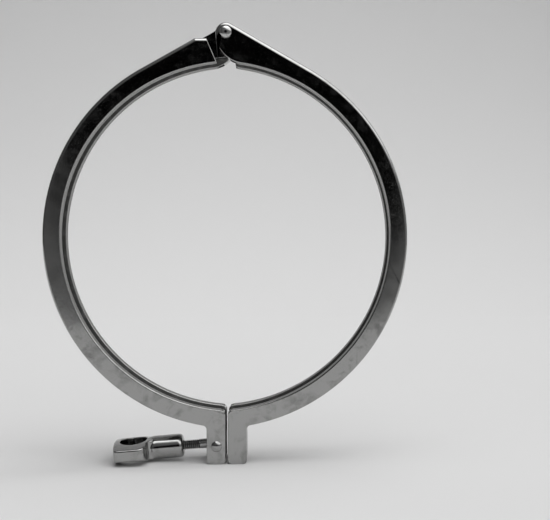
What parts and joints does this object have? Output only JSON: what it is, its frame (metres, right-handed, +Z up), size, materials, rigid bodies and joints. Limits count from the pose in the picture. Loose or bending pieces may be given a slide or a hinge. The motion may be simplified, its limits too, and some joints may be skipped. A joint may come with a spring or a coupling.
{
  "type": "hinged ferrule clamp",
  "caption": "Two-piece hinged clamp ring with an internal V groove, closed by a swing bolt and a wing nut with a finger eye.",
  "frame": {"origin": "the pipe's axis at mid width, which is the centre of the left half's arc", "axes": "+Y along the pipe towards the back, +Z up towards the hinge, +X towards the half that opens"},
  "size_m": [0.2356, 0.0364, 0.2873],
  "materials": {
    "cast_steel": "polished",
    "rivet_steel": "polished",
    "bolt_steel": "satin"
  },
  "bodies": {
    "fixed_half": {"left_clamp_half": "cast_steel", "hinge_pin": "rivet_steel", "bolt_pivot_pin": "rivet_steel"},
    "opening_half": {"right_clamp_half": "cast_steel"},
    "bolt": {"swing_bolt": "bolt_steel"},
    "nut": {"wing_nut": "cast_steel"}
  },
  "joints": [
    {"name": "clamp_hinge", "type": "hinge", "parent": "fixed_half", "child": "opening_half", "pos_m": [-0.0066, 0, 0.1315], "axis": [0, -1, 0], "range_deg": [0, 170]},
    {"name": "bolt_swing", "type": "hinge", "parent": "fixed_half", "child": "bolt", "pos_m": [-0.01325, 0, -0.1361], "axis": [0, -1, 0], "range_deg": [-23, 175.6]},
    {"name": "nut_travel", "type": "slide", "parent": "bolt", "child": "nut", "axis": [-0.9971, 0, -0.0767], "range_m": [-0.0023, 0.02691]}
  ]
}
